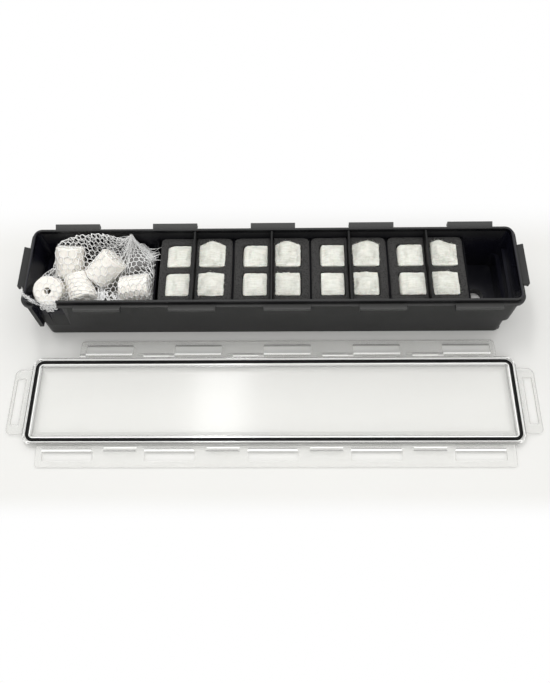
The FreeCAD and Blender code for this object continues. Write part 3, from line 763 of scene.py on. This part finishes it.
def draped_net(places):
    """Lays the netting over the heap of rings, gathers it to a peak and draws its edge in below."""
    room_x, room_y, drop, tuck, top_z = 58 * MM, 36 * MM, 62 * MM, 18 * MM, 77 * MM
    heart = HEART[:2]
    reach_s, reach_t = room_x + drop + tuck, room_y + drop + tuck
    index, flat, threads, apart, rim = net_pattern(THREAD, reach_s, reach_t)
    size = ((np.abs(flat[:, 0]) / room_x) ** 4 + (np.abs(flat[:, 1]) / room_y) ** 4) ** 0.25
    edge = flat / np.maximum(size, 1e-9)[:, None]
    edge_reach = np.linalg.norm(edge, axis=1)
    over = np.maximum(size - 1, 0) * edge_reach
    under = np.maximum(over - drop, 0)
    turned = edge * (1 - under / np.maximum(edge_reach, 1e-9))[:, None]
    across = np.where((size < 1)[:, None], flat, turned)
    points = np.column_stack([heart + across, top_z - np.minimum(over, drop)])

    apex = int(np.argmin(np.hypot(*(flat - (PEAK[:2] + [0, 4 * MM] - heart)).T)))
    from_apex = flat - flat[apex]
    reach = np.linalg.norm(from_apex, axis=1)

    def gathered(pairs, length):
        """How long each pair may be: threads that run round the apex are drawn together."""
        middle = from_apex[pairs].mean(1)
        way = from_apex[pairs[:, 1]] - from_apex[pairs[:, 0]]
        away = np.maximum(np.linalg.norm(middle, axis=1), 1e-9)
        turn_share = np.abs(way[:, 1] * middle[:, 0] - way[:, 0] * middle[:, 1])
        turn_share = turn_share / away / np.linalg.norm(way, axis=1)
        return length * (1 - turn_share * (1 - np.clip(away / (36 * MM), 0.14, 1)))

    pairs = np.concatenate([threads, apart])
    crosswise = gathered(apart, math.sqrt(3) * THREAD) * 0.8
    lengths = np.concatenate([gathered(threads, THREAD), crosswise])
    taut = np.where(np.arange(len(pairs)) < len(threads), 1.0, 0.0)
    first, last = pairs.T
    count = np.bincount(first, minlength=len(points)) + np.bincount(last, minlength=len(points))
    hem = rim & (over > drop)
    below = np.array([heart[0], 0, NET_LOW])
    turns, slack_pull, step_share = 240, 0.35, 1.3
    for turn in range(turns):
        points[:, 2] -= np.where(over > 0, 0.10, 0.20) * MM * (1 - 0.5 * turn / turns)
        points[hem] += (below - points[hem]) * 0.01
        for _ in range(3):
            gap = points[last] - points[first]
            length = np.maximum(np.linalg.norm(gap, axis=1), 1e-9)
            excess = length - lengths
            move = (np.where(excess > 0, taut, slack_pull) * excess / length)[:, None] * gap
            for axis in range(3):
                onward = np.bincount(first, move[:, axis], len(points))
                back = np.bincount(last, move[:, axis], len(points))
                points[:, axis] += step_share * (onward - back) / count
            points[apex] = PEAK
        points = kept_in(held_up(pushed_out(points, places, 0.6 * MM)))
    return index, points, threads, apex, reach


def thread_piece(name, starts, ends, radius, sides, material):
    """One piece of the bag, made of a thin prism from each start to each end."""
    return new_piece(name, *tubes(starts, ends, radius, sides), material, "ring_bag", "net")


def loops(name, paths, radius, material):
    """Threads along smooth paths, each an array of points."""
    starts = np.concatenate([path[:-1] for path in paths])
    ends = np.concatenate([path[1:] for path in paths])
    return thread_piece(name, starts, ends, radius, 3, material)


def net_hem(material):
    """The bag's drawn-in mouth: a loose strand that lies over the tub's left front corner."""
    spine = MM * np.array([
        (-246.6, -27.6, 73.4), (-246.8, -30.0, 73.6), (-246.6, -32.2, 73.6),
        (-245.2, -34.4, 73.7), (-242.6, -36.6, 73.7), (-239.6, -38.7, 73.6),
        (-236.0, -40.8, 72.4), (-232.0, -42.2, 68.0), (-228, -42.3, 63.5)])
    threads, rim_x, rim_top = 26, -236 * MM, 72.9 * MM
    outermost = np.array([-247.1, -42.8, 0]) * MM
    chance = np.random.default_rng(21)
    corners = np.arange(len(spine))
    steps = np.linspace(0, len(spine) - 1, 52)
    centre = np.column_stack([np.interp(steps, corners, spine[:, axis]) for axis in range(3)])
    paths = []
    for _ in range(threads):
        phase, turns = chance.uniform(0, 2 * math.pi), chance.uniform(2, 6)
        wide = chance.uniform(0.2, 1.6) * MM
        angle = phase + turns * 2 * math.pi * steps / steps[-1]
        ragged = np.cumsum(chance.normal(size=(len(steps), 3)) * 0.22 * MM, axis=0)
        swing = [np.cos(angle), 0.7 * np.cos(angle), 0.5 + 0.5 * np.sin(angle)]
        path = centre + np.column_stack(swing) * wide + ragged - ragged.mean(0)
        begin = int(chance.integers(0, 38))
        path = path[begin:begin + int(chance.integers(12, 22))]
        on_rim = path[:, 0] < rim_x
        path[on_rim, 2] = np.maximum(path[on_rim, 2], rim_top)
        paths.append(np.maximum(path, outermost))
    return loops("net_hem", paths, 0.15 * MM, material)


def net_corner(material):
    """Three layers of slack netting that sag out of the inlet notch under the ring."""
    half_height = 8 * MM
    _, flat, threads, _, _ = net_pattern(2.3 * MM, 11 * MM, half_height)
    chance = np.random.default_rng(22)
    starts, ends = [], []
    for layer in range(3):
        s, t = flat.T
        lower = (t + half_height) / (2 * half_height)
        wave = np.sin(s / (3.1 * MM) + layer * 2.1) * 0.8 * MM
        sag = np.sin(np.minimum(lower * 1.9, math.pi / 2))
        x = -223.6 * MM + s * (0.92 - 0.12 * lower) + layer * 0.7 * MM
        y = -36.5 * MM - 5.6 * MM * sag + wave * 0.5 - layer * 0.35 * MM
        z = 66 * MM - 14 * MM * lower ** 1.2 + wave * lower + layer * 0.6 * MM
        sheet = np.column_stack([x, y, z]) + chance.normal(size=(len(flat), 3)) * 0.2 * MM
        starts.append(sheet[threads[:, 0]])
        ends.append(sheet[threads[:, 1]])
    starts, ends = np.concatenate(starts), np.concatenate(ends)
    return thread_piece("net_corner", starts, ends, 0.24 * MM, 3, material)


def net_tuft(material):
    """Loose loops of thread at the bag's right end, over the first weir."""
    threads, middle, weir_top = 22, MM * np.array([-127.0, 16.0, 63.5]), 61.6 * MM
    chance = np.random.default_rng(23)
    along = np.linspace(0, 1, 13)
    paths = []
    for _ in range(threads):
        root = middle + chance.normal(size=3) * MM * [1.6, 4.6, 1.2]
        long, wide = chance.uniform(6, 13) * MM, chance.uniform(-5, 5) * MM
        out = np.sin(math.pi * along) * long
        side = (along - 0.5) * wide * 2 + np.sin(2 * math.pi * along) * wide * 0.5
        rise = np.sin(math.pi * along) * chance.uniform(-1.0, 2.5) * MM
        path = root + np.column_stack([out, side + out * chance.uniform(-0.1, 0.5), rise])
        path += np.cumsum(chance.normal(size=path.shape) * 0.18 * MM, axis=0)
        path[:, 2] = np.maximum(path[:, 2], weir_top)
        paths.append(path)
    return loops("net_tuft", paths, 0.14 * MM, material)


def net_fold(index, points, threads, reach, material):
    """A second layer of netting, half a cell aside and a little further out, where the bag is
    gathered and along its right side."""
    fold = np.full_like(points, np.nan)
    for (row, column), here in index.items():
        other = index.get((row + 1, column + 1))
        if other is not None:
            fold[here] = (points[here] + points[other]) / 2
    outward = fold - HEART
    outward /= np.linalg.norm(outward, axis=1, keepdims=True)
    fold = fold + outward * 1.1 * MM
    x, y, z = fold.T
    gathered, right_side = reach < 20 * MM, (x > -134 * MM) & (y > -36 * MM)
    doubled = (gathered | right_side) & (z > 34 * MM)
    first, last = threads[doubled[threads].all(1)].T
    fold = kept_in(fold)
    return thread_piece("net_fold", fold[first], fold[last], 0.24 * MM, 4, material)


def net_gather(points, apex, reach, places, material):
    """Threads that fan out from the peak, over the rings, to the netting round it."""
    threads, lengths, sag = 70, 5, 4 * MM
    chance = np.random.default_rng(7)
    targets = np.where((reach > 9 * MM) & (reach < 38 * MM) & (points[:, 1] < 34 * MM))[0]
    targets = targets[chance.integers(0, len(targets), threads)]
    top, feet = points[apex], points[targets]
    before = top + chance.normal(size=feet.shape) * [0.9 * MM, 0.9 * MM, 1.2 * MM]
    starts, ends = [], []
    for share in np.linspace(0.2, 1.0, lengths):
        after = top + (feet - top) * share
        after[:, 2] -= sag * math.sin(math.pi * share)
        after += chance.normal(size=feet.shape) * 0.35 * MM
        after = pushed_out(after, places, 1.0 * MM)
        starts.append(before)
        ends.append(after)
        before = after
    starts, ends = np.concatenate(starts), np.concatenate(ends)
    return thread_piece("net_gather", starts, ends, 0.2 * MM, 3, material)


def net_bag(material):
    """The bag's netting, thicker at the back and thinner near the peak, and its loose threads."""
    places = ring_places()
    index, points, threads, apex, reach = draped_net(places)
    first, last = threads.T
    thick = np.where(points[threads].mean(1)[:, 1] > 5 * MM, 0.45, 0.38) * MM
    radius = (np.clip(reach[threads].mean(1) / (30 * MM), 0.46, 1) * thick)[:, None]
    bag = thread_piece("net_bag", points[first], points[last], radius, 4, material)
    fold = net_fold(index, points, threads, reach, material)
    fan = net_gather(points, apex, reach, places, material)
    hem = net_hem(material)
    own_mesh(fan)
    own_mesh(hem)
    pieces = [fold, fan, hem, net_corner(material), net_tuft(material)]
    return bag


# ---- Pieces -------------------------------------------------------------------------------

def dress(names, material):
    """Gives CAD pieces their material; their shapes stay as they are."""
    for name in names:
        node = frame["nodes"][name]
        node.data.materials.clear()
        node.data.materials.append(material)


tub_plastic = black_plastic("tub plastic", (0.0185, 0.0185, 0.0185), 1.0, tub=True)
# the baffle plates and weirs are the tub's plastic, painted darker as painted shade: the plates as
# shade among the cassettes, the weirs near black as the shade in the gaps between the sponges
shaded_baffle_plastic = black_plastic("baffle plastic", (0.011, 0.011, 0.011), 0.5, 0.12)
shaded_weir_plastic = black_plastic("weir plastic", (0.002, 0.002, 0.003), 0.5, 0.04)
dress(["tub"], tub_plastic)
dress([name for name in frame["nodes"] if name.startswith("baffle_")], shaded_baffle_plastic)
dress([name for name in frame["nodes"] if name.startswith("weir_")], shaded_weir_plastic)
dress(["lid"], clear_plastic("clear lid", 0.07, 0.40, frame_lines))
dress(["flap_left", "flap_right"], clear_plastic("clear end flaps", 0.10, 0.40))
slots = {"front": (-0.197, 0.0937, 0.0145, 0.0035), "back": (-0.228, 0.1018, 0.0024, 0.0034)}
for side, places in slots.items():
    plastic = clear_plastic(f"clear {side} flap", 0.10, 0.40, slot_lines(*places))
    dress([f"flap_{side}"], plastic)
dress(["lid_gasket"], seal_rubber())
dress(ring_names(), fired_ceramic())
# ring_back_right lies in the shadow of the net's fold and is painted dark, as painted shade, so it
# does not show through the net
dress(["ring_back_right"], fired_ceramic("fold shade ceramic", 0.85))
# the low front rings lie in shade under the heap and are painted darker, as painted shade
low_ring_shade = fired_ceramic("yellowed ceramic", 0.6)
dress(["ring_low_1_front", "ring_low_2_front", "ring_low_3_front"], low_ring_shade)

foam_material = foam()
floss_material = white_floss()
LIP = 0.4 * MM  # how far a sponge's top laps over the weir beside it
END_GAP = 2.7 * MM  # how far the first sponge is drawn in beside the bag
WADS = {
    # overhang at the front and at the back, crown, ridge, lean to the back, ruffle and fuzz, all
    # in millimetres
    "left_front": (2.1, 1.4, 4.4, 0.0, 0.0, 0.7, 0.5),
    "left_back": (1.3, 1.3, 4.4, 0.0, 0.0, 0.7, 0.5),
    "right_front": (2.1, 1.9, 5.2, 1.0, 1.4, 1.2, 0.8),
    "right_back": (0.6, 1.4, 4.6, 5.4, 5.0, 1.0, 0.9),
}
# How far each cassette's left back pad draws in from the window's far left corner, in millimetres.
SLANTS = {1: 4.2, 2: 2.6, 3: 0.4, 4: 0.6}
# Where each cassette's ridges stand, from -1 to 1 across the pad.
PEAKS = {1: 0.0, 2: -0.05, 3: 0.1, 4: -0.35}
SPANS = {
    # each wad's reach from the plate of its cassette, in millimetres
    "left_front": [(-23.9, -2.3), (-28.7, -2.7), (-30.8, -4.6), (-28.9, -1.2)],
    "left_back": [(-24.4, -2.2), (-27.8, -2.2), (-28.8, -2.7), (-25.9, -1.3)],
    "right_front": [(2.2, 33.4), (1.2, 30.1), (1.2, 29.4), (1.2, 32.1)],
    "right_back": [(2.2, 33.6), (1.2, 31.3), (1.2, 33.4), (2.8, 34.1)],
}
SIDES, ROWS = ("left", "right"), ("front", "back")
windows = [(number, side, row) for number in PEAKS for side in SIDES for row in ROWS]
block, block_faces = rounded_block(13, 0.07)
starts = []
for number, side, row in windows:
    low, high = (np.array(corner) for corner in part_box(f"floss_{number}_{side}_{row}"))
    starts.append(block * (high - low) / 2 * SLACK + [0.04 * number, 0.04 * len(starts), 0])
swellings = dict(zip(windows, stuffed(starts, block_faces)))
for number in PEAKS:
    plate_low, plate_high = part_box(f"baffle_{number}")
    plate_x = (plate_low[0] + plate_high[0]) / 2
    for side in SIDES:
        body = f"cassette_{number}_{side}"
        by_bag, by_outlet = (number, side) == (1, "left"), (number, side) == (4, "right")
        lip = (LIP if side == "left" and not by_bag else 0.0,
               LIP if side == "right" and not by_outlet else 0.0)
        narrower = END_GAP if by_bag else 0.0
        sponge_block(f"sponge_{number}_{side}", body, foam_material, narrower, lip)
        for row in ROWS:
            wad = WADS[f"{side}_{row}"]
            span = [plate_x + value * MM for value in SPANS[f"{side}_{row}"][number - 1]]
            seed = number * 10 + (side == "right") * 4 + (row == "back") * 2
            slant = SLANTS[number] if (side, row) == ("left", "back") else 0.0
            swelling = swellings[number, side, row]
            floss_wad(f"floss_{number}_{side}_{row}", body, span, wad, PEAKS[number], slant,
                      swelling, block, block_faces, floss_material, seed)

bag = net_bag(net_thread())
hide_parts("ring_bag")


# ---- Floor, light and camera --------------------------------------------------------------

def floor_material():
    """A pale table that fades to plain white all round the object."""
    shader = Shader("pale table")
    point = shader.place()
    across, depth, _ = shader.parts(point)
    mottle = shader.noise(point, 6.0, 3.0)
    near = shader.step(depth, -0.240, -0.212)
    far = shader.fall(depth, 0.06, 0.13)
    table = near * far * shader.fall(abs(across), 0.38, 0.52)
    base = shader.mix(mottle, (0.725, 0.721, 0.70), (0.755, 0.751, 0.73))
    matte = shader.node("ShaderNodeBsdfDiffuse", {}, {"Color": base})
    white = shader.node("ShaderNodeEmission", {}, {"Color": (1, 1, 1, 1), "Strength": 1.0})
    share = 0.0
    for ray in ("Is Camera Ray", "Is Glossy Ray", "Is Transmission Ray"):
        share = share + shader.node("ShaderNodeLightPath", {}, {}, ray)
    share = (1.0 - table) * share
    surface = shader.node("ShaderNodeMixShader", {}, {0: share, 1: matte, 2: white})
    shader.node("ShaderNodeOutputMaterial", {}, {"Surface": surface})
    return shader.material


def floor():
    size, under = 4.0, 0.0002
    corners = [(-size, -size, 0), (size, -size, 0), (size, size, 0), (-size, size, 0)]
    mesh = new_mesh("table", corners, [(0, 1, 2, 3)])
    mesh.materials.append(floor_material())
    table = new_object("table", mesh)
    table.location.z = -under


def soft_box(name, place, aim, size, power):
    """A white rectangular lamp, aimed at a point."""
    light = bpy.data.lights.new(name, "AREA")
    light.shape = "RECTANGLE"
    light.size, light.size_y = size
    light.energy = power
    lamp = new_object(name, light)
    lamp.location = place
    lamp.rotation_euler = (Vector(aim) - Vector(place)).to_track_quat("-Z", "Y").to_euler()


def world(lit=0.53, seen=1.0):
    """White all round: the camera and mirrors see it brighter than it lights the object."""
    made = bpy.data.worlds.new("studio")
    bpy.context.scene.world = made
    made.use_nodes = True
    tree = made.node_tree
    tree.nodes.clear()
    paths = tree.nodes.new("ShaderNodeLightPath")
    either = tree.nodes.new("ShaderNodeMath")
    either.operation = "MAXIMUM"
    for number, ray in enumerate(("Is Camera Ray", "Is Glossy Ray")):
        tree.links.new(paths.outputs[ray], either.inputs[number])
    mixed = tree.nodes.new("ShaderNodeMixShader")
    tree.links.new(either.outputs[0], mixed.inputs[0])
    for number, strength in ((1, lit), (2, seen)):
        white = tree.nodes.new("ShaderNodeBackground")
        white.inputs["Color"].default_value = (1, 1, 1, 1)
        white.inputs["Strength"].default_value = strength
        tree.links.new(white.outputs[0], mixed.inputs[number])
    out = tree.nodes.new("ShaderNodeOutputWorld")
    tree.links.new(mixed.outputs[0], out.inputs["Surface"])


def camera():
    """The photograph's camera: a short lens above the lid, tilted steeply down. Its focal length
    is fitted in pixels of the photograph's width."""
    place, focal, width = (0.0152, -0.3767, 0.6669), 698.28, 550.0
    pitch, yaw, roll = (math.radians(angle) for angle in (63.99, -2.334, -2.347))
    ahead = math.cos(pitch)
    forward = Vector((math.sin(yaw) * ahead, math.cos(yaw) * ahead, -math.sin(pitch)))
    level = Vector((math.cos(yaw), -math.sin(yaw), 0))
    upward = level.cross(forward)
    right = math.cos(roll) * level + math.sin(roll) * upward
    top = math.cos(roll) * upward - math.sin(roll) * level
    turn = Matrix((right, top, -forward)).transposed()
    data = bpy.data.cameras.new("photo camera")
    data.sensor_fit = "HORIZONTAL"
    data.sensor_width = 36.0
    data.lens = 36.0 * focal / width
    data.clip_start = 0.01
    viewer = new_object("photo camera", data)
    viewer.matrix_world = Matrix.Translation(place) @ turn.to_4x4()
    bpy.context.scene.camera = viewer


floor()
soft_box("overhead", (0, 0.35, 1.4), (0, 0, 0), (2.4, 1.7), 16.2)
soft_box("window strip", (-0.175, 0.283, 1.19), (-0.175, 0.283, 0), (0.15, 0.42), 2.6)
soft_box("front fill", (0.1, -1.1, 0.8), (0, 0, 0), (1.2, 0.7), 4.7)
world()
camera()

bpy.context.scene.view_settings.view_transform = "Standard"
